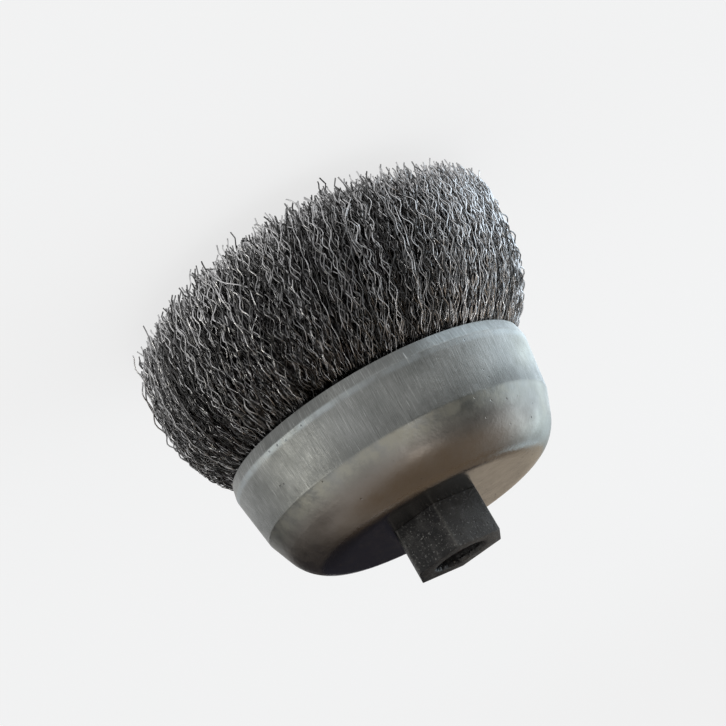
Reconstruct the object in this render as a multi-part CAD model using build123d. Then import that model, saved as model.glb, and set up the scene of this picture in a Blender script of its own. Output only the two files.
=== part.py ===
from build123d import *
import math
import os

# Wire cup brush, standing on the ends of its wires with the nut up.
# Millimetres. The origin is on the axis, at the level of the lowest wire ends.

# Hex nut with its threaded bore
nut_across_flats = 22.0
nut_height = 12.0
thread_minor_diameter = 11.8
thread_lead_in = 1.2
spigot_diameter = 18.0
rivet_head_diameter = 22.0
rivet_head_height = 1.8
rivet_head_round = 0.8

# Drawn steel cup
cup_height = 29.5
cup_sheet = 1.5
wire_room = 14.0
lip_flare = 0.5
lip_height = 2.8
belt_inset = 1.5
belt_drop = 13.4
shoulder_angle = 22.0
shoulder_radius = 12.0
crease_radius = 1.2

# Dished plate inside the cup
plate_sheet = 1.5
plate_flat_diameter = 38.0
plate_edge_diameter = 53.0
plate_depth = 15.0
plate_radius = 3.0

# Ring that the wires are folded round
ring_wire_diameter = 4.0
ring_drop = 6.5

# Crimped wires
wire_reach = 46.0
spread_diameter = 102.2
spread_height = 19.3
flare_bulge = 1.7
dome_power = 3.4
hollow_end_diameter = 27.0
lock_count = 72
lock_depth = 2.6
lock_unevenness = 2.4
lock_beat = 2.4
crimp_wave = 5.4
crimp_swing = 0.7
tip_rows = 9
tip_depth = 4.5
hollow_rows = 4
hollow_dip = 0.6
packing_depth = 3.0

# Clearances
spigot_clearance = 0.1
wire_clearance = 0.1
ring_clearance = 0.1

# Levels and radii that follow from the sizes above
mouth_radius = plate_edge_diameter / 2 + wire_room
lip_radius = mouth_radius + lip_flare
belt_radius = mouth_radius - belt_inset
mouth_z = wire_reach
base_z = mouth_z + cup_height
plate_z = base_z - cup_sheet
rivet_z = plate_z - plate_sheet
hole_radius = spigot_diameter / 2 + spigot_clearance
plate_edge_z = plate_z - plate_depth
plate_slope = math.atan2((plate_edge_diameter - plate_flat_diameter) / 2, plate_depth)
ring_seat_radius = ring_wire_diameter / 2 + ring_clearance
packing_z = mouth_z + packing_depth
root_radius = mouth_radius - cup_sheet - wire_clearance
spread_radius = spread_diameter / 2
hollow_end_radius = hollow_end_diameter / 2


def cup_corners(start_x):
    """Corners of the cup's outer line: base, shoulder, belt, lip and mouth."""
    shoulder_x = belt_radius - belt_drop * math.tan(math.radians(shoulder_angle))
    return [
        (start_x, base_z),
        (shoulder_x, base_z),
        (belt_radius, base_z - belt_drop),
        (lip_radius, mouth_z + lip_height),
        (mouth_radius, mouth_z),
    ]


def slope_radius(z):
    """Outer radius of the dished plate's slope."""
    return plate_flat_diameter / 2 + (plate_z - z) * math.tan(plate_slope)


def make_cup():
    with BuildPart() as cup:
        with BuildSketch(Plane.XZ):
            with BuildLine():
                radii = [shoulder_radius, crease_radius, crease_radius]
                FilletPolyline(*cup_corners(hole_radius), radius=radii)
                offset(amount=cup_sheet, side=Side.RIGHT)
            make_face()
        revolve(axis=Axis.Z)
    return cup.part


def make_inner_plate():
    with BuildPart() as plate:
        with BuildSketch(Plane.XZ):
            with BuildLine():
                flat_end = (plate_flat_diameter / 2, plate_z)
                edge = (plate_edge_diameter / 2, plate_edge_z)
                FilletPolyline((hole_radius, plate_z), flat_end, edge, radius=plate_radius)
                offset(amount=plate_sheet, side=Side.RIGHT)
            make_face()
        revolve(axis=Axis.Z)
    return plate.part


def make_arbor_nut():
    with BuildPart() as nut:
        with BuildSketch(Plane.XY.offset(base_z)):
            RegularPolygon(nut_across_flats / 2, 6, major_radius=False, rotation=30)
        extrude(amount=nut_height)
        with BuildSketch(Plane.XY.offset(base_z)):
            Circle(spigot_diameter / 2)
        extrude(amount=-(cup_sheet + plate_sheet))
        with BuildSketch(Plane.XY.offset(rivet_z)):
            Circle(rivet_head_diameter / 2)
        extrude(amount=-rivet_head_height)
        head_edge = nut.edges().filter_by(GeomType.CIRCLE).sort_by(Axis.Z)[0]
        fillet(head_edge, rivet_head_round)
        with BuildSketch(Plane.XY.offset(base_z + nut_height)):
            Circle(thread_minor_diameter / 2)
        extrude(amount=-(base_z + nut_height), mode=Mode.SUBTRACT)
        mouths = nut.edges().filter_by(GeomType.CIRCLE).filter_by(
            lambda edge: abs(edge.radius - thread_minor_diameter / 2) < 0.01
        )
        chamfer(mouths.sort_by(Axis.Z)[-1], thread_lead_in)
    return nut.part


def ring_centre():
    """Radius and level of the ring's section, which rests on the slope of the plate."""
    level = plate_z - ring_drop
    return slope_radius(level) + ring_seat_radius / math.cos(plate_slope), level


def make_holding_ring():
    radius, level = ring_centre()
    with BuildPart() as ring:
        with Locations((0, 0, level)):
            Torus(radius, ring_wire_diameter / 2)
    return ring.part


def flare_stations():
    """Radius, level, lean and depth of dips down the flare, from inside the cup to the widest level."""
    count = round((mouth_z - spread_height) / (crimp_wave / 2))
    stations = [(root_radius, packing_z, 0, lock_depth / 2)]
    for number in range(count + 1):
        share = number / count
        bulge = 4 * flare_bulge * share * (1 - share)
        radius = root_radius + (spread_radius - root_radius) * share + bulge
        z = mouth_z - (mouth_z - spread_height) * share
        stations.append((radius, z, 0, lock_depth / 2 * (1 + share)))
    return stations


def dome_stations():
    """The same over the wire ends, from the widest level in to the edge of the hollow."""
    rim_turn = math.acos((hollow_end_radius / spread_radius) ** (dome_power / 2))
    rim_drop = math.sin(rim_turn) ** (2 / dome_power)
    stations = []
    for number in range(1, tip_rows + 1):
        turn = rim_turn * number / tip_rows
        radius = spread_radius * math.cos(turn) ** (2 / dome_power)
        z = spread_height * (1 - math.sin(turn) ** (2 / dome_power) / rim_drop)
        depth = tip_depth * math.sqrt(radius / spread_radius)
        ragged = lock_unevenness * math.sin(math.pi * number / tip_rows)
        stations.append((radius, z, math.degrees(turn), depth, ragged))
    return stations


def hollow_radius(z):
    """Radius of the open middle, a cone from the wire ends up to the edge of the plate."""
    share = z / plate_edge_z
    edge_radius = plate_edge_diameter / 2 + wire_clearance / math.cos(plate_slope)
    return hollow_end_radius * (1 - share) + edge_radius * share


def hollow_stations():
    """The same up the inside of the tuft, to the packing inside the cup."""
    levels = [packing_z * number / hollow_rows for number in range(1, hollow_rows + 1)]
    return [(hollow_radius(z), z, 180, hollow_dip) for z in levels]


def skin_row(number, radius, z, lean, depth, ragged=0):
    """One closed row of points round the tuft: crests, with a dip beside each.

    The dips lie inward where lean is 0, upward at 90 and outward at 180. The rows swing from
    side to side with the crimp. On the dome the crests are staggered, as wire ends are, and
    ragged lifts those of the shorter locks, which follow each other by a beat in radians.
    """
    swing = crimp_swing if number % 2 else -crimp_swing
    shift = number if 0 < lean < 180 else 0
    points = []
    for index in range(2 * lock_count):
        lock = index // 2
        dip = depth if (index + shift) % 2 else 0
        lift = ragged * (1 + math.sin(lock_beat * lock)) / 2
        out = radius - dip * math.cos(math.radians(lean))
        angle = math.pi * index / lock_count + swing / spread_radius
        up = z + lift + dip * math.sin(math.radians(lean))
        points.append((out * math.cos(angle), out * math.sin(angle), up))
    return points


def skin_facets(upper, lower, number):
    """Triangles between two rows, split so that the staggered crests of the dome stand out."""
    facets = []
    for index in range(len(upper)):
        after = (index + 1) % len(upper)
        if (index + number) % 2:
            facets.append((upper[index], lower[index], lower[after]))
            facets.append((upper[index], lower[after], upper[after]))
        else:
            facets.append((upper[index], lower[index], upper[after]))
            facets.append((lower[index], lower[after], upper[after]))
    return [Face(Wire.make_polygon(facet)) for facet in facets]


def make_tuft():
    """The tuft below the packing: crimped locks down the flare, wire ends, and the hollow."""
    stations = flare_stations() + dome_stations() + hollow_stations()
    rows = [skin_row(number, *station) for number, station in enumerate(stations)]
    faces = [Face(Wire.make_polygon(rows[0]), [Wire.make_polygon(rows[-1])])]
    for number, (upper, lower) in enumerate(zip(rows, rows[1:])):
        faces += skin_facets(upper, lower, number)
    return Solid(Shell(faces))


def make_packing():
    """The folded wires inside the cup, between its wall and the plate."""
    channel = 2 * ring_seat_radius
    slope_gap = wire_clearance / math.cos(plate_slope)
    corners = cup_corners(0)
    shoulder_cut = shoulder_radius * math.tan(math.radians(90 - shoulder_angle) / 2)
    with BuildPart() as packing:
        with BuildSketch(Plane.XZ):
            with BuildLine():
                Polyline((-lip_radius, mouth_z), (-lip_radius, base_z), *corners, close=True)
            make_face()
            shoulder = vertices().sort_by_distance(corners[1])[0]
            chamfer(shoulder, shoulder_cut)
            offset(amount=-(cup_sheet + wire_clearance), kind=Kind.INTERSECTION)
            with BuildLine():
                Polyline(
                    (-lip_radius, base_z),
                    (slope_radius(base_z) + slope_gap, base_z),
                    (slope_radius(plate_edge_z) + slope_gap, plate_edge_z),
                    (hollow_radius(packing_z), packing_z),
                    (2 * lip_radius, packing_z),
                    (2 * lip_radius, mouth_z),
                    (-lip_radius, mouth_z),
                    close=True,
                )
            make_face(mode=Mode.SUBTRACT)
            with Locations(ring_centre()):
                Rectangle(channel, channel, rotation=math.degrees(plate_slope), mode=Mode.SUBTRACT)
        revolve(axis=Axis.Z)
    return packing.part


def make_wire_fill():
    return make_tuft() + make_packing()


if __name__ == "__main__":
    os.makedirs("parts", exist_ok=True)
    pieces = {
        "cup": make_cup(),
        "inner_plate": make_inner_plate(),
        "arbor_nut": make_arbor_nut(),
        "holding_ring": make_holding_ring(),
        "wire_fill": make_wire_fill(),
    }
    for name, piece in pieces.items():
        export_step(piece, f"parts/{name}.step")
        print(name, round(piece.volume), piece.bounding_box().size)
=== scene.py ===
import math

import bpy
import numpy as np
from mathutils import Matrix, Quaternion, Vector


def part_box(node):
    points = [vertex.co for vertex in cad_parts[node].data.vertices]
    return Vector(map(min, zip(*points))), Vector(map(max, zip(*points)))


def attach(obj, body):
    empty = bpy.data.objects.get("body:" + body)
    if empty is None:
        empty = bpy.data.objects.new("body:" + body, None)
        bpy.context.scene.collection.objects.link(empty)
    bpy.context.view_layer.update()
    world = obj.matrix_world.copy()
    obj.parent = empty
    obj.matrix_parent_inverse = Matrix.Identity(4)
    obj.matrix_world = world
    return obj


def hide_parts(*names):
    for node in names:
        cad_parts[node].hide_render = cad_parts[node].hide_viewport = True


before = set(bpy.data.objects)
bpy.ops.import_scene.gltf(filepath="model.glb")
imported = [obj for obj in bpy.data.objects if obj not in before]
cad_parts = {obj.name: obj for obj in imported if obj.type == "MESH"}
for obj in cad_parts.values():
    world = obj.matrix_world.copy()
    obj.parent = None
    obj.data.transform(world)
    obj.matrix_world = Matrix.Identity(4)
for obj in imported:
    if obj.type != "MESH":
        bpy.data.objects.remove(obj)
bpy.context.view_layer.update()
bpy.ops.object.select_all(action="DESELECT")


# Cup. It is drawn from 1.5 mm steel sheet and zinc plated, with a turned-in lip at its mouth
# and a crease round its belt. The die left fine lines along the wall, and use has scratched
# and pitted it. It is riveted between the nut and the dished plate.
cup_grey = (0.205, 0.212, 0.205, 1)
cup_pale = (0.290, 0.298, 0.290, 1)
cup_dull_and_shade = (0.130, 0.133, 0.128, 1)
cup_painted_tan = (0.200, 0.170, 0.145, 1)
cup_bright = (0.480, 0.490, 0.480, 1)
cup_pit = (0.035, 0.033, 0.030, 1)
cup_worn = (0.330, 0.325, 0.280, 1)
cup_cold_highlight = (0.380, 0.415, 0.430, 1)
cup_yellow = (0.300, 0.295, 0.240, 1)
lip_top = 0.0490
lip_wear_and_highlight_width = 0.0018
belt_level = 0.0621
belt_shade_width = 0.0065
crease_wear_width = 0.0056
shoulder_level = 0.0700
flat_level = 0.0735
window_side = (-0.034, -0.020)
cup_relief_depth = 0.00006


def start_finish(name, metallic):
    """A new material, its node tree and its shader."""
    finish = bpy.data.materials.new(name)
    finish.use_nodes = True
    shader = finish.node_tree.nodes["Principled BSDF"]
    shader.inputs["Metallic"].default_value = metallic
    return finish, finish.node_tree, shader


def object_place(tree):
    """The place on the piece, in metres from its origin."""
    return tree.nodes.new("ShaderNodeTexCoord").outputs["Object"]


def feed(tree, socket, value):
    """Links a socket to an input, or sets the input to a plain value."""
    if isinstance(value, bpy.types.NodeSocket):
        tree.links.new(value, socket)
    else:
        socket.default_value = value


def grain(tree, vector, scale, detail, roughness):
    """Noise of the given scale along a vector."""
    node = tree.nodes.new("ShaderNodeTexNoise")
    feed(tree, node.inputs["Vector"], vector)
    feed(tree, node.inputs["Scale"], scale)
    node.inputs["Detail"].default_value = detail
    node.inputs["Roughness"].default_value = roughness
    return node.outputs["Fac"]


def spread(tree, value, low, high, to_low=0.0, to_high=1.0):
    """A value carried from one range to another and held at its ends."""
    node = tree.nodes.new("ShaderNodeMapRange")
    node.interpolation_type = "SMOOTHSTEP"
    feed(tree, node.inputs["Value"], value)
    feed(tree, node.inputs["From Min"], low)
    feed(tree, node.inputs["From Max"], high)
    feed(tree, node.inputs["To Min"], to_low)
    feed(tree, node.inputs["To Max"], to_high)
    return node.outputs["Result"]


def sums(tree, operation, first, second):
    """A sum, difference or other operation on two values."""
    node = tree.nodes.new("ShaderNodeMath")
    node.operation = operation
    feed(tree, node.inputs[0], first)
    feed(tree, node.inputs[1], second)
    return node.outputs[0]


def times(tree, first, second):
    """The product of two values."""
    return sums(tree, "MULTIPLY", first, second)


def tint(tree, share, first, second):
    """The first colour, turned to the second by a share."""
    node = tree.nodes.new("ShaderNodeMix")
    node.data_type = "RGBA"
    feed(tree, node.inputs["Factor"], share)
    feed(tree, node.inputs["A"], first)
    feed(tree, node.inputs["B"], second)
    return node.outputs["Result"]


def height_of(tree, vector):
    """The third part of a vector."""
    node = tree.nodes.new("ShaderNodeSeparateXYZ")
    feed(tree, node.inputs[0], vector)
    return node.outputs["Z"]


def width_of(tree, vector):
    """The first part of a vector."""
    node = tree.nodes.new("ShaderNodeSeparateXYZ")
    feed(tree, node.inputs[0], vector)
    return node.outputs["X"]


def relief(tree, shader, height, distance):
    """Bump from a height, on the shader's normal."""
    node = tree.nodes.new("ShaderNodeBump")
    node.inputs["Distance"].default_value = distance
    feed(tree, node.inputs["Height"], height)
    feed(tree, shader.inputs["Normal"], node.outputs["Normal"])


def start_group(name, inputs, outputs):
    """A node group with float or vector inputs and float outputs."""
    group = bpy.data.node_groups.new(name, "ShaderNodeTree")
    for label, kind in inputs:
        group.interface.new_socket(label, in_out="INPUT", socket_type=kind)
    for label in outputs:
        group.interface.new_socket(label, in_out="OUTPUT", socket_type="NodeSocketFloat")
    return group, group.nodes.new("NodeGroupInput"), group.nodes.new("NodeGroupOutput")


def use_group(tree, group, **values):
    """Places a group in a material with its own values and gives its outputs."""
    node = tree.nodes.new("ShaderNodeGroup")
    node.node_tree = group
    for label, value in values.items():
        feed(tree, node.inputs[label], value)
    return node.outputs


# Fine lines down a wall: noise on the direction from the axis, drawn out along the height.
draw_lines, lines_in, lines_out = start_group(
    "draw lines",
    [("Place", "NodeSocketVector"), ("Fineness", "NodeSocketFloat"), ("Slant", "NodeSocketFloat")],
    ["Lines"],
)
flatten = draw_lines.nodes.new("ShaderNodeVectorMath")
flatten.operation = "MULTIPLY"
flatten.inputs[1].default_value = (1, 1, 0)
draw_lines.links.new(lines_in.outputs["Place"], flatten.inputs[0])
direction = draw_lines.nodes.new("ShaderNodeVectorMath")
direction.operation = "NORMALIZE"
draw_lines.links.new(flatten.outputs[0], direction.inputs[0])
fine = draw_lines.nodes.new("ShaderNodeVectorMath")
fine.operation = "SCALE"
draw_lines.links.new(direction.outputs[0], fine.inputs[0])
draw_lines.links.new(lines_in.outputs["Fineness"], fine.inputs["Scale"])
along = times(
    draw_lines,
    height_of(draw_lines, lines_in.outputs["Place"]),
    lines_in.outputs["Slant"],
)
lift = draw_lines.nodes.new("ShaderNodeCombineXYZ")
draw_lines.links.new(along, lift.inputs["Z"])
run = draw_lines.nodes.new("ShaderNodeVectorMath")
run.operation = "ADD"
draw_lines.links.new(fine.outputs[0], run.inputs[0])
draw_lines.links.new(lift.outputs[0], run.inputs[1])
draw_lines.links.new(grain(draw_lines, run.outputs[0], 1.0, 3.0, 0.6), lines_out.inputs["Lines"])

# Small round pits, in the few cells of a scattered pattern that a random colour picks.
pock_marks, pocks_in, pocks_out = start_group(
    "pock marks",
    [("Place", "NodeSocketVector"), ("Scale", "NodeSocketFloat"), ("Size", "NodeSocketFloat")],
    ["Pits"],
)
cells = pock_marks.nodes.new("ShaderNodeTexVoronoi")
pock_marks.links.new(pocks_in.outputs["Place"], cells.inputs["Vector"])
pock_marks.links.new(pocks_in.outputs["Scale"], cells.inputs["Scale"])
near = spread(pock_marks, cells.outputs["Distance"], 0.0, pocks_in.outputs["Size"], 1.0, 0.0)
chosen = spread(pock_marks, height_of(pock_marks, cells.outputs["Color"]), 0.62, 0.68)
pock_marks.links.new(times(pock_marks, near, chosen), pocks_out.inputs["Pits"])

cup_finish, cup_tree, cup_shader = start_finish("zinc plated drawn steel", 1.0)
cup_place = object_place(cup_tree)
cup_height = height_of(cup_tree, cup_place)
clouds = grain(cup_tree, cup_place, 70, 4.0, 0.6)
broad = grain(cup_tree, cup_place, 24, 3.0, 0.5)
mottle = grain(cup_tree, cup_place, 240, 4.0, 0.7)
specks = grain(cup_tree, cup_place, 900, 2.0, 0.7)
wall = spread(cup_tree, cup_height, belt_level + 0.001, belt_level - 0.0005)
bowl = spread(cup_tree, cup_height, belt_level - 0.0005, shoulder_level)
lip = spread(cup_tree, cup_height, lip_top, lip_top - 0.0006)
lines = use_group(cup_tree, draw_lines, Place=cup_place, Fineness=230.0, Slant=240.0)["Lines"]
deep_lines = use_group(cup_tree, draw_lines, Place=cup_place, Fineness=110.0, Slant=110.0)["Lines"]
pits = use_group(cup_tree, pock_marks, Place=cup_place, Scale=380.0, Size=0.13)["Pits"]

# Cloudy zinc, yellowed in broad patches. The bowl away from the window is painted tan as a painted
# brown reflection and shade, and the lip is painted darker as painted shade.
cup_colour = tint(cup_tree, spread(cup_tree, clouds, 0.35, 0.7), cup_grey, cup_pale)
cup_colour = tint(cup_tree, spread(cup_tree, broad, 0.5, 0.7, 0.0, 0.7), cup_colour, cup_yellow)
cup_colour = tint(cup_tree, spread(cup_tree, clouds, 0.5, 0.25, 0.0, 0.6), cup_colour, cup_dull_and_shade)
# Painted reflection and shade: the side away from the window is painted tan, for the brown it mirrors
# and the shade it lies in.
painted_shade_side = spread(cup_tree, width_of(cup_tree, cup_place), *window_side, 0.2, 0.75)
cup_colour = tint(cup_tree, times(cup_tree, bowl, painted_shade_side), cup_colour, cup_painted_tan)
# Painted shade: the turned-in lip is painted darker.
cup_colour = tint(cup_tree, times(cup_tree, lip, 0.45), cup_colour, cup_dull_and_shade)
# Bright and dark lines on the wall, which darkens towards the belt.
line_mask = times(cup_tree, spread(cup_tree, lines, 0.5, 0.74), wall)
line_mask = times(cup_tree, line_mask, spread(cup_tree, clouds, 0.3, 0.7, 0.3, 1.3))
cup_colour = tint(cup_tree, times(cup_tree, line_mask, 0.5), cup_colour, cup_bright)
dark_lines = times(cup_tree, spread(cup_tree, lines, 0.47, 0.28), wall)
cup_colour = tint(cup_tree, times(cup_tree, dark_lines, 0.65), cup_colour, cup_dull_and_shade)
belt_shade = times(
    cup_tree,
    spread(cup_tree, cup_height, belt_level - belt_shade_width, belt_level - 0.0010, 0.0, 0.65),
    spread(cup_tree, clouds, 0.3, 0.7, 1.0, 0.5),
)
belt_shade = times(cup_tree, belt_shade, wall)
cup_colour = tint(cup_tree, belt_shade, cup_colour, cup_dull_and_shade)
# The crease of the belt is rubbed yellowish, most on the side away from the window. The crease of the
# lip is rubbed bright and has a painted bluish highlight, strongest on one side.
crease_band = times(
    cup_tree,
    spread(cup_tree, cup_height, belt_level - 0.0004, belt_level + 0.0006),
    spread(cup_tree, cup_height, belt_level + crease_wear_width, belt_level + 0.0016),
)
crease_wear = times(cup_tree, crease_band, spread(cup_tree, mottle, 0.34, 0.64, 0.10, 0.80))
crease_wear = times(cup_tree, crease_wear, times(cup_tree, painted_shade_side, 1.3))
cup_colour = tint(cup_tree, crease_wear, cup_colour, cup_worn)
lip_band = times(
    cup_tree,
    spread(cup_tree, cup_height, lip_top - 0.0004, lip_top + 0.0002),
    spread(cup_tree, cup_height, lip_top + lip_wear_and_highlight_width, lip_top + 0.0007),
)
# Painted highlight: the lip crease is painted pale bluish, partly wear, most strongly on one side.
lip_highlight_side = spread(cup_tree, width_of(cup_tree, cup_place), 0.0, 0.012, 0.45, 1.0)
lip_wear_and_highlight = times(cup_tree, lip_band, lip_highlight_side)
lip_wear_and_highlight = times(cup_tree, lip_wear_and_highlight, spread(cup_tree, mottle, 0.30, 0.62, 0.2, 1.0))
cup_colour = tint(cup_tree, lip_wear_and_highlight, cup_colour, cup_cold_highlight)
# Dull spots, bright scratches and dark pits come last.
cup_colour = tint(cup_tree, spread(cup_tree, mottle, 0.68, 0.78, 0.0, 0.6), cup_colour, cup_dull_and_shade)
scratch_mask = times(cup_tree, spread(cup_tree, deep_lines, 0.655, 0.74), wall)
cup_colour = tint(cup_tree, scratch_mask, cup_colour, cup_bright)
cup_colour = tint(cup_tree, times(cup_tree, pits, 0.5), cup_colour, cup_pit)
feed(cup_tree, cup_shader.inputs["Base Color"], cup_colour)
flat = spread(cup_tree, cup_height, flat_level, flat_level + 0.0015)
satin = spread(cup_tree, mottle, 0.25, 0.75, 0.34, 0.48)
cup_roughness = times(cup_tree, satin, spread(cup_tree, flat, 0.0, 1.0, 1.0, 0.5))
feed(cup_tree, cup_shader.inputs["Roughness"], cup_roughness)
cup_relief = times(cup_tree, lines, wall)
cup_relief = sums(cup_tree, "ADD", cup_relief, times(cup_tree, specks, 0.8))
cup_relief = sums(cup_tree, "ADD", cup_relief, clouds)
cup_relief = sums(cup_tree, "SUBTRACT", cup_relief, times(cup_tree, pits, 2.0))
relief(cup_tree, cup_shader, cup_relief, cup_relief_depth)


def dress(node, finish):
    """Gives a CAD node's object one material."""
    node.data.materials.clear()
    node.data.materials.append(finish)


dress(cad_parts["cup"], cup_finish)


# Dished plate and holding ring. The plate is pressed from the same sheet, unplated, and the
# ring is drawn 4 mm wire. The wires are folded round the ring, and the plate holds it.
plate_steel = (0.150, 0.145, 0.140, 1)
plate_rust = (0.090, 0.050, 0.030, 1)
plate_relief_depth = 0.00005

plate_finish, plate_tree, plate_shader = start_finish("plain pressed steel", 1.0)
plate_place = object_place(plate_tree)
rust = grain(plate_tree, plate_place, 220, 4.0, 0.65)
plate_lines = use_group(plate_tree, draw_lines, Place=plate_place, Fineness=60.0, Slant=60.0)["Lines"]
plate_pits = use_group(plate_tree, pock_marks, Place=plate_place, Scale=500.0, Size=0.2)["Pits"]
plate_colour = tint(plate_tree, spread(plate_tree, rust, 0.5, 0.75), plate_steel, plate_rust)
feed(plate_tree, plate_shader.inputs["Base Color"], plate_colour)
feed(plate_tree, plate_shader.inputs["Roughness"], spread(plate_tree, rust, 0.3, 0.7, 0.35, 0.6))
plate_relief = sums(plate_tree, "SUBTRACT", plate_lines, plate_pits)
relief(plate_tree, plate_shader, plate_relief, plate_relief_depth)
dress(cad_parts["inner_plate"], plate_finish)
dress(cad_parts["holding_ring"], plate_finish)


# Arbor nut. It is forged hexagon steel with a dull black oxide coat, rough from the forge and
# with no chamfer on its end. Its spigot is riveted over inside the cup, and an M14 thread with
# a 2 mm pitch is cut through it.
nut_black = (0.024, 0.024, 0.025, 1)
nut_worn_and_lit = (0.110, 0.108, 0.105, 1)
nut_glint = (0.220, 0.220, 0.215, 1)
nut_edge = (0.160, 0.158, 0.150, 1)
thread_brown = (0.110, 0.068, 0.050, 1)
nut_corner = 0.0127
nut_bevel = 0.00025
nut_relief_depth = 0.00018
thread_core = 0.0059
thread_depth = 0.0011
thread_pitch = 0.002
thread_steps = 40
thread_relief_depth = 0.00005
ridge_foot = 1.03
bore_margin = 0.0001
lead_in = 0.0012
nut_low, nut_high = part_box("arbor_nut")


def own_copy(node, name):
    """A copy of a CAD node with a merged mesh of its own, alone in the selection."""
    piece = node.copy()
    piece.data = node.data.copy()
    piece.name = name
    bpy.context.collection.objects.link(piece)
    bpy.ops.object.select_all(action="DESELECT")
    bpy.context.view_layer.objects.active = piece
    piece.select_set(True)
    bpy.ops.object.mode_set(mode="EDIT")
    bpy.ops.mesh.select_all(action="SELECT")
    bpy.ops.mesh.remove_doubles(threshold=0.00001)
    bpy.ops.mesh.dissolve_limited(angle_limit=math.radians(1))
    bpy.ops.object.mode_set(mode="OBJECT")
    return piece


# The bore is widened to the root of the thread, and the edges get small bevels.
nut = own_copy(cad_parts["arbor_nut"], "threaded_nut")
for vertex in nut.data.vertices:
    reach = math.hypot(vertex.co.x, vertex.co.y)
    if reach < thread_core + bore_margin:
        growth = (thread_core + thread_depth) / reach
        vertex.co.x *= growth
        vertex.co.y *= growth
bpy.ops.object.modifier_add(type="BEVEL")
nut.modifiers[-1].width = nut_bevel
nut.modifiers[-1].segments = 2
nut.modifiers[-1].angle_limit = math.radians(40)
bpy.ops.object.modifier_apply(modifier=nut.modifiers[-1].name)
bpy.ops.object.shade_smooth_by_angle(angle=math.radians(35))

# The ridge of the thread is one section, wound up the bore and cut back at the lead-in.
bpy.ops.object.select_all(action="DESELECT")
bpy.ops.mesh.primitive_plane_add(size=thread_pitch)
thread = bpy.context.object
thread.name = "thread_ridge"
ridge_points = [(0, -0.45), (1, -0.06), (1, 0.06), (0, 0.45)]
for vertex, (inward, offset) in zip(thread.data.vertices, ridge_points):
    vertex.co.x = thread_core + thread_depth * (ridge_foot - ridge_foot * inward)
    vertex.co.y = 0
    vertex.co.z = nut_low.z + thread_pitch * (0.5 + offset)
bpy.ops.object.mode_set(mode="EDIT")
bpy.ops.mesh.select_all(action="SELECT")
bpy.ops.mesh.delete(type="ONLY_FACE")
bpy.ops.object.mode_set(mode="OBJECT")
bpy.ops.object.modifier_add(type="SCREW")
turns = round((nut_high.z - nut_low.z) / thread_pitch) - 1
thread.modifiers[-1].angle = 2 * math.pi * turns
thread.modifiers[-1].screw_offset = thread_pitch * turns
thread.modifiers[-1].steps = thread_steps * turns
thread.modifiers[-1].render_steps = thread_steps * turns
bpy.ops.object.modifier_apply(modifier=thread.modifiers[-1].name)
bpy.ops.object.mode_set(mode="EDIT")
bpy.ops.mesh.select_all(action="SELECT")
bpy.ops.mesh.fill_holes(sides=4)
bpy.ops.mesh.normals_make_consistent(inside=False)
bpy.ops.object.mode_set(mode="OBJECT")
for vertex in thread.data.vertices:
    reach = math.hypot(vertex.co.x, vertex.co.y)
    cone = thread_core + vertex.co.z - (nut_high.z - lead_in)
    growth = max(reach, min(cone, thread_core + thread_depth)) / reach
    vertex.co.x *= growth
    vertex.co.y *= growth


def away_from_axis(tree, vector):
    """Distance from the upright axis."""
    flat_place = tree.nodes.new("ShaderNodeVectorMath")
    flat_place.operation = "MULTIPLY"
    flat_place.inputs[1].default_value = (1, 1, 0)
    feed(tree, flat_place.inputs[0], vector)
    distance = tree.nodes.new("ShaderNodeVectorMath")
    distance.operation = "LENGTH"
    feed(tree, distance.inputs[0], flat_place.outputs[0])
    return distance.outputs["Value"]


nut_finish, nut_tree, nut_shader = start_finish("black oxide forged steel", 0.85)
nut_place = object_place(nut_tree)
scale_clouds = grain(nut_tree, nut_place, 260, 4.0, 0.65)
scale_grain = grain(nut_tree, nut_place, 1900, 3.0, 0.75)
nut_pits = use_group(nut_tree, pock_marks, Place=nut_place, Scale=800.0, Size=0.3)["Pits"]
nut_colour = tint(nut_tree, spread(nut_tree, scale_clouds, 0.4, 0.8, 0.0, 0.5), nut_black, nut_worn_and_lit)
# Painted light: the half of the nut on the window side is painted lighter, and the other half stays
# darker.
painted_lit_side = spread(nut_tree, width_of(nut_tree, nut_place), 0.0010, -0.0010, 0.0, 0.42)
nut_colour = tint(nut_tree, painted_lit_side, nut_colour, nut_worn_and_lit)
nut_colour = tint(nut_tree, spread(nut_tree, scale_grain, 0.57, 0.68), nut_colour, nut_glint)
edge_wear = spread(nut_tree, away_from_axis(nut_tree, nut_place), nut_corner - 0.0004, nut_corner)
edge_wear = times(nut_tree, edge_wear, spread(nut_tree, scale_grain, 0.35, 0.65, 0.15, 0.7))
nut_colour = tint(nut_tree, edge_wear, nut_colour, nut_edge)
feed(nut_tree, nut_shader.inputs["Base Color"], nut_colour)
feed(nut_tree, nut_shader.inputs["Roughness"], spread(nut_tree, scale_grain, 0.3, 0.7, 0.45, 0.65))
nut_relief = sums(nut_tree, "ADD", scale_grain, times(nut_tree, scale_clouds, 2.0))
nut_relief = sums(nut_tree, "SUBTRACT", nut_relief, nut_pits)
relief(nut_tree, nut_shader, nut_relief, nut_relief_depth)
dress(nut, nut_finish)

thread_finish, thread_tree, thread_shader = start_finish("oily brown thread", 0.6)
thread_place = object_place(thread_tree)
oil = grain(thread_tree, thread_place, 500, 3.0, 0.6)
thread_colour = tint(thread_tree, spread(thread_tree, oil, 0.35, 0.7), thread_brown, nut_black)
feed(thread_tree, thread_shader.inputs["Base Color"], thread_colour)
feed(thread_tree, thread_shader.inputs["Roughness"], spread(thread_tree, oil, 0.3, 0.7, 0.3, 0.5))
relief(thread_tree, thread_shader, oil, thread_relief_depth)
dress(thread, thread_finish)
for piece in (nut, thread):
    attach(piece, "root")
    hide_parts("arbor_nut")
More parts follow.
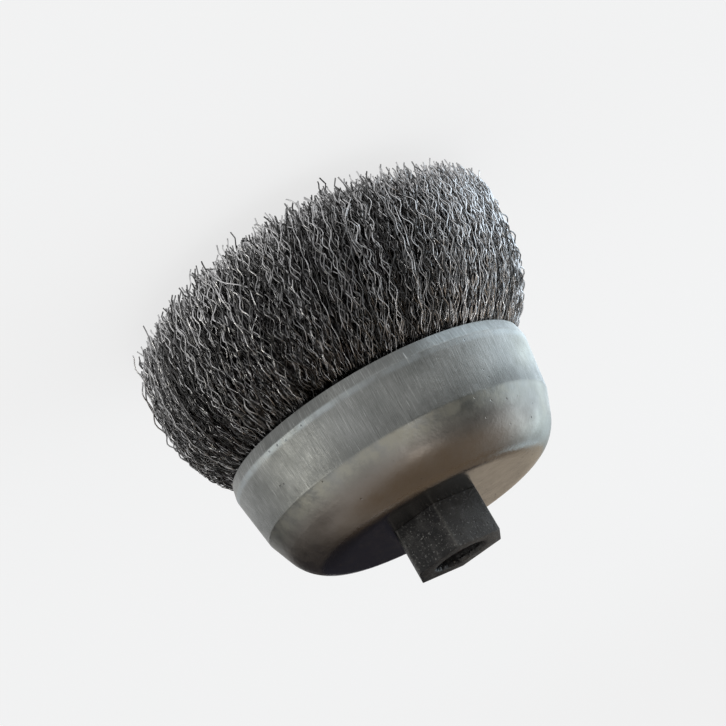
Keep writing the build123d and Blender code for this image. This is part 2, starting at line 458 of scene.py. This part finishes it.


# Crimped wires. Some thousands of spring steel wires, 0.35 mm thick and pressed into waves, are
# folded round the ring, packed between cup and plate, and end in a dome with an open middle.
# Use has bent them over, worn two sides shorter and pulled some out of line. Their tone is painted:
# darker at the root as painted shade, lighter at the end as polish and painted glints, and lighter on
# the window side and the loose side as painted light.
wire_dark = (0.022, 0.021, 0.020, 1)
wire_pale = (0.700, 0.695, 0.700, 1)
wire_corner = 0.0002
mouth_level = 0.0460
spread_level = 0.0193
spread_reach = 0.0511
dome_power = 3.4
ring_level = 0.0600
ring_reach = (0.0373, 0.0271)
mouth_reach = (0.0386, 0.0238)
tip_reach = (0.0500, 0.0137)
wire_bow = 0.0050
bow_skew = 0.7
wave_length = 0.0061
wave_height = 0.00068
first_crimp = 0.6
crimp_growth = 0.006
crimp_end = 0.985
plain_step = 0.26
plain_turn = 7
end_scatter = 0.0010
lowest_end = 0.0002
long_share = 0.12
long_reach = 0.0022
stray_share = 0.08
stray_looseness = 3.0
side_looseness = 2.0
side_wander = 0.0009
outward_wander = 0.0003
phase_spread = 1.8
plane_spread = 0.4
lock_width = 0.0010
lock_depth = 0.012
short_scatter = 0.0006
golden_turn = 0.618034
worn_sides = [(5.55, 0.0025, 3), (4.0, 0.0018, 8)]
bright_side = 3.3
end_polish_and_glint = 2.2
side_painted_light = 11.0
loose_side_painted_light = 0.8
tip_lean = 0.0022
side_squeeze = 0.02
swirl = 0.05
sector_count = 6
dice = np.random.default_rng(20)


def between(reach, share):
    """Radius at which a share of the wires' ring lies outside."""
    outer, inner = reach
    return math.sqrt(outer**2 - share * (outer**2 - inner**2))


def dome_level(reach):
    """Level of the wire ends at a distance from the axis."""
    part = min(reach / spread_reach, 1.0) ** dome_power
    return spread_level * (1 - (1 - part) ** (1 / dome_power))


def wander(along, size):
    """A slow bend from side to side, of about the given size at the wire's end."""
    bend = np.clip(dice.normal(0, 1), -1.5, 1.5)
    swing = np.sin(math.pi * along * dice.uniform(1.0, 3.5) + dice.uniform(0, 6))
    drift = np.clip(dice.normal(0, 1), -1.5, 1.5)
    return size * (bend * swing * along + drift * along**2)


def cut_end(end, turn, short):
    """Level of a wire's cut end: on the dome, unless it is worn, short or long."""
    worn = sum(depth * max(math.cos(turn - side), 0) ** power for side, depth, power in worn_sides)
    long_one = long_reach * (dice.random() < long_share)
    level = dome_level(end) + worn + short + dice.normal(0, end_scatter) - long_one
    return max(level, lowest_end)


def stations(length, wave, samples, crimped_from):
    """Shares of a wire's length that get a point: a few where it is plain, more where crimped."""
    fine = np.arange(crimped_from * length, crimp_end * length, wave / samples) / length
    plain = np.arange(0, crimped_from, plain_step)
    return np.concatenate([plain, fine, [1.0]])


def crimp(along, length, lock, crimped_from):
    """The wave of one wire, which keeps to the wave of its lock but not to its phase."""
    grown = np.clip(first_crimp + along * length / crimp_growth, 0, 1)
    phase = lock["phase"] + dice.normal(0, phase_spread)
    height = lock["height"] * dice.uniform(0.75, 1.25)
    wave = height * grown * np.sin(2 * math.pi * along * length / lock["wave"] + phase)
    plain = height * np.cos(plain_turn * along / plain_step + phase)
    return np.where(along < crimped_from, plain, wave)


def wire_tone_and_painted_light(along, turn, loose_side):
    """How bright a wire is: a random tone, with painted shade at its root, polish and painted glints
    at its end, and painted light on the window side and the loose side.
    """
    # Painted shade and glints: the tone rises from the root, darker where the mouth shades it, to the
    # end, which is lighter as polish and painted glints.
    bright = 0.93 + 0.3 * along + end_polish_and_glint * along**6
    # Painted light: wires on the window side, and less so on the loose side, are painted lighter.
    painted_window_light = side_painted_light * max(math.cos(turn - bright_side), 0) ** 6
    bright *= 1 + painted_window_light + loose_side_painted_light * loose_side**8
    return bright * (0.025 + 0.85 * dice.random() ** 2.5)


def lay_wire(share, turn, lock, samples, crimped_from):
    """Points along one wire, from the ring inside the cup to its cut end, and their tones."""
    root = between(mouth_reach, share)
    end = between(tip_reach, share)
    end_level = cut_end(end, turn, lock["short"])
    length = math.hypot(mouth_level - end_level, end - root)
    along = stations(length, lock["wave"], samples, crimped_from)
    bow = wire_bow * (1 - share) ** 2
    skew = 1 - bow_skew * (along - 0.5)
    reach = root + (end - root) * along + 4 * bow * along * (1 - along) * skew
    level = mouth_level + (end_level - mouth_level) * along
    wave = crimp(along, length, lock, crimped_from)
    plane = lock["plane"] + dice.normal(0, plane_spread)
    loose_side = max(math.cos(turn), 0)
    looseness = 1
    if dice.random() < stray_share:
        looseness = stray_looseness + side_looseness * loose_side
    sideways = wave * math.cos(plane) + wander(along, looseness * side_wander)
    outward = wave * math.sin(plane) + wander(along, looseness * outward_wander)
    angle = turn - swirl * along + sideways / reach
    reach = reach * (1 - side_squeeze * loose_side * along) + outward
    lean = tip_lean * along
    points = np.stack([reach * np.cos(angle) - lean, reach * np.sin(angle), level], axis=1)
    top = between(ring_reach, share)
    first = np.array([[top * math.cos(turn), top * math.sin(turn), ring_level]])
    tones = wire_tone_and_painted_light(along, turn, loose_side)
    return np.concatenate([first, points]), np.concatenate([[0], tones])


def new_lock():
    """The crimp that the wires of one lock share."""
    return {
        "phase": dice.uniform(0, 2 * math.pi),
        "plane": dice.uniform(-1.15, 1.15),
        "wave": wave_length * dice.uniform(0.9, 1.12),
        "height": wave_height * dice.uniform(0.8, 1.2),
        "short": dice.normal(0, short_scatter),
    }


def lay_locks(count, low, high, members, samples, crimped_from):
    """Wires in locks, between two shares of the ring's width."""
    wires = []
    for number in range(count):
        centre = low + (high - low) * dice.random()
        turn = 2 * math.pi * ((number * golden_turn) % 1.0)
        lock = new_lock()
        for member in range(members):
            share = min(max(centre + dice.normal(0, lock_depth), 0.0), 1.0)
            own_turn = turn + dice.normal(0, lock_width) / between(mouth_reach, share)
            wires.append((own_turn, *lay_wire(share, own_turn, lock, samples, crimped_from)))
    return wires


# All wires have one three-sided section.
section = bpy.data.curves.new("wire_section", "CURVE")
section.dimensions = "2D"
corner_line = section.splines.new("POLY")
corner_line.points.add(2)
for number, point in enumerate(corner_line.points):
    corner = -2 * math.pi * number / 3
    point.co = (wire_corner * math.cos(corner), wire_corner * math.sin(corner), 0, 1)
corner_line.use_cyclic_u = True
section_object = bpy.data.objects.new("wire_section", section)
bpy.context.collection.objects.link(section_object)

# From the skin inwards, and last the lining of the open middle. Where other wires hide them,
# they are plain, and only the end that shows is crimped.
wires = lay_locks(500, 0.0, 0.05, 2, 6, 0.0)
wires += lay_locks(520, 0.04, 0.12, 2, 5, 0.14)
wires += lay_locks(420, 0.11, 0.22, 2, 4, 0.35)
wires += lay_locks(1000, 0.2, 0.94, 3, 4, 0.77)
wires += lay_locks(130, 0.95, 1.0, 4, 4, 0.0)

wire_finish, wire_tree, wire_shader = start_finish("crimped spring steel", 1.0)
wire_place = object_place(wire_tree)
tone = wire_tree.nodes.new("ShaderNodeAttribute")
tone.attribute_name = "tone"
stain = grain(wire_tree, wire_place, 300, 3.0, 0.6)
shade = times(wire_tree, tone.outputs["Fac"], spread(wire_tree, stain, 0.25, 0.7, 0.5, 1.0))
feed(wire_tree, wire_shader.inputs["Base Color"], tint(wire_tree, shade, wire_dark, wire_pale))
feed(wire_tree, wire_shader.inputs["Roughness"], spread(wire_tree, stain, 0.3, 0.7, 0.16, 0.32))

sector_angle = 2 * math.pi / sector_count
for sector in range(sector_count):
    mine = [wire for wire in wires if int((wire[0] % (2 * math.pi)) / sector_angle) == sector]
    bundle = bpy.data.curves.new(f"wires_{sector + 1}", "CURVE")
    bundle.dimensions = "3D"
    bundle.bevel_mode = "OBJECT"
    bundle.bevel_object = section_object
    for turn, points, tones in mine:
        wire = bundle.splines.new("POLY")
        wire.points.add(len(points) - 1)
        wire.points.foreach_set("co", np.column_stack([points, np.ones(len(points))]).ravel())
    piece = bpy.data.objects.new(f"wires_{sector + 1}", bundle)
    bpy.context.collection.objects.link(piece)
    bpy.ops.object.select_all(action="DESELECT")
    bpy.context.view_layer.objects.active = piece
    piece.select_set(True)
    bpy.ops.object.convert(target="MESH")
    piece = bpy.context.object
    bpy.ops.object.mode_set(mode="EDIT")
    bpy.ops.mesh.select_all(action="SELECT")
    bpy.ops.mesh.fill_holes(sides=3)
    bpy.ops.object.mode_set(mode="OBJECT")
    bpy.ops.object.shade_smooth()
    shades = np.repeat(np.concatenate([tones for turn, points, tones in mine]), 3)
    piece.data.attributes.new("tone", "FLOAT", "POINT")
    piece.data.attributes["tone"].data.foreach_set("value", shades.astype(np.float32))
    dress(piece, wire_finish)
    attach(piece, "root")
    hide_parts("wire_fill")
bpy.data.objects.remove(section_object)


# Floor and backdrop. A plain pale floor runs out to a background of the same tone, and keeps
# the soft shadow under the wires.
pale = (0.900, 0.900, 0.900, 1)
floor_white = (0.90, 0.90, 0.90, 1)
shadow_share = 0.16


def background_ray(tree):
    """One for rays that look at the background, straight or by a mirror or glass."""
    rays = tree.nodes.new("ShaderNodeLightPath").outputs
    seen = sums(tree, "MAXIMUM", rays["Is Camera Ray"], rays["Is Glossy Ray"])
    return sums(tree, "MAXIMUM", seen, rays["Is Transmission Ray"])


bpy.ops.object.select_all(action="DESELECT")
bpy.ops.mesh.primitive_plane_add(size=8)
floor = bpy.context.object
floor.name = "floor"
floor_finish, floor_tree, floor_shader = start_finish("pale floor", 0.0)
floor_shader.inputs["Base Color"].default_value = floor_white
floor_shader.inputs["Roughness"].default_value = 0.9
floor_shader.inputs["Specular IOR Level"].default_value = 0.0
glow = floor_tree.nodes.new("ShaderNodeEmission")
glow.inputs["Color"].default_value = pale
join = floor_tree.nodes.new("ShaderNodeMixShader")
share = times(floor_tree, background_ray(floor_tree), 1 - shadow_share)
feed(floor_tree, join.inputs[0], share)
feed(floor_tree, join.inputs[1], floor_shader.outputs[0])
feed(floor_tree, join.inputs[2], glow.outputs[0])
floor_out = floor_tree.nodes["Material Output"]
feed(floor_tree, floor_out.inputs["Surface"], join.outputs[0])
floor.data.materials.append(floor_finish)

world = bpy.data.worlds.new("studio")
bpy.context.scene.world = world
world.use_nodes = True
sky = world.node_tree
backdrop = sky.nodes["Background"]
soft_light = (0.80, 0.81, 0.82, 1)
feed(sky, backdrop.inputs["Color"], tint(sky, background_ray(sky), soft_light, pale))


# Studio lights. A large cool window stands low beside and behind the brush, a small lamp
# stands over the camera, and a warm one shines low from the other side.
cup_middle = Vector((0, 0, 0.06))


def add_light(name, place, width, height, power, colour):
    """An area light, aimed at the middle of the cup."""
    bpy.ops.object.light_add(type="AREA", location=place)
    light = bpy.context.object
    light.name = name
    light.data.shape = "RECTANGLE"
    light.data.size = width
    light.data.size_y = height
    light.data.energy = power
    light.data.color = colour
    aim = cup_middle - Vector(place)
    light.rotation_euler = aim.to_track_quat("-Z", "Y").to_euler()
    light.visible_camera = False


add_light("window", (-0.90, 0.45, 0.32), 0.90, 0.80, 4.5, (0.74, 0.89, 1.0))
add_light("front_lamp", (-0.12, -0.80, 0.62), 0.10, 0.10, 0.45, (1.0, 0.97, 0.92))
add_light("warm_lamp", (0.90, -0.30, 0.09), 0.30, 0.16, 0.95, (1.0, 0.97, 0.86))


# Reflection cards. Plain sheets that only the polished steel mirrors: a brown ceiling, brown and
# dark walls and corners behind the brush, grey ones behind the camera and at the sides, and a
# table that is bright towards the window and dark on the other side.
table_height = 0.002


def add_card(name, place, width, height, colour):
    """A glowing sheet that shows in reflections only. It faces the cup, or lies on the floor."""
    bpy.ops.object.select_all(action="DESELECT")
    bpy.ops.mesh.primitive_plane_add(size=1)
    card = bpy.context.object
    card.name = name
    card.scale = (width, height, 1)
    bpy.ops.object.transform_apply(scale=True)
    card.location = place
    if place[2] > table_height:
        aim = cup_middle - card.location
        card.rotation_euler = aim.to_track_quat("Z", "Y").to_euler()
    paper = bpy.data.materials.new(name)
    paper.use_nodes = True
    glow = paper.node_tree.nodes.new("ShaderNodeEmission")
    glow.inputs["Color"].default_value = colour
    feed(paper.node_tree, paper.node_tree.nodes["Material Output"].inputs["Surface"], glow.outputs[0])
    card.data.materials.append(paper)
    card.visible_camera = False
    card.visible_diffuse = False
    card.visible_shadow = False


add_card("brown_ceiling", (-0.10, -0.10, 1.00), 1.7, 1.5, (0.38, 0.30, 0.22, 1))
add_card("dark_wall", (0.55, 0.95, 0.88), 1.4, 0.9, (0.12, 0.095, 0.075, 1))
add_card("brown_wall", (-0.45, 0.95, 0.88), 0.7, 0.9, (0.34, 0.28, 0.22, 1))
add_card("grey_room", (-0.40, -1.15, 0.25), 1.1, 0.8, (0.16, 0.16, 0.15, 1))
add_card("grey_wall", (-1.02, -0.62, 0.45), 1.0, 1.1, (0.13, 0.13, 0.12, 1))
add_card("dark_side", (0.84, 0.68, 0.10), 0.60, 0.50, (0.04, 0.035, 0.03, 1))
add_card("dark_corner", (0.44, 1.00, 0.40), 1.35, 1.00, (0.028, 0.028, 0.038, 1))
add_card("beige_corner", (-0.22, 1.00, 0.24), 0.30, 0.46, (0.56, 0.49, 0.40, 1))
add_card("cold_corner", (-0.62, 0.95, 0.42), 0.55, 0.80, (0.98, 1.18, 1.32, 1))
add_card("bright_table", (-0.36, 0.22, table_height), 0.60, 0.60, (2.1, 2.45, 2.75, 1))
add_card("near_table", (-0.27, -0.08, table_height), 0.28, 0.42, (1.2, 1.2, 1.2, 1))
add_card("dark_table", (0.42, -0.26, table_height), 0.60, 0.50, (0.12, 0.12, 0.12, 1))
add_card("dim_side", (1.05, 0.10, 0.55), 0.9, 0.6, (0.22, 0.21, 0.20, 1))


# Camera, held where the photograph was taken: close, at the height of the nut and rolled over.
camera_place = Vector((0.0249, -0.4615, 0.1716))
camera_forward = Vector((-0.05793, 0.95605, -0.28743))
camera_roll = math.radians(149.77)
bpy.ops.object.camera_add(location=camera_place)
camera = bpy.context.object
camera.rotation_mode = "QUATERNION"
level_view = camera_forward.to_track_quat("-Z", "Y")
camera.rotation_quaternion = level_view @ Quaternion((0, 0, 1), camera_roll)
camera.data.lens = 95.78
camera.data.sensor_width = 36
bpy.context.scene.camera = camera
bpy.context.scene.view_settings.view_transform = "Standard"
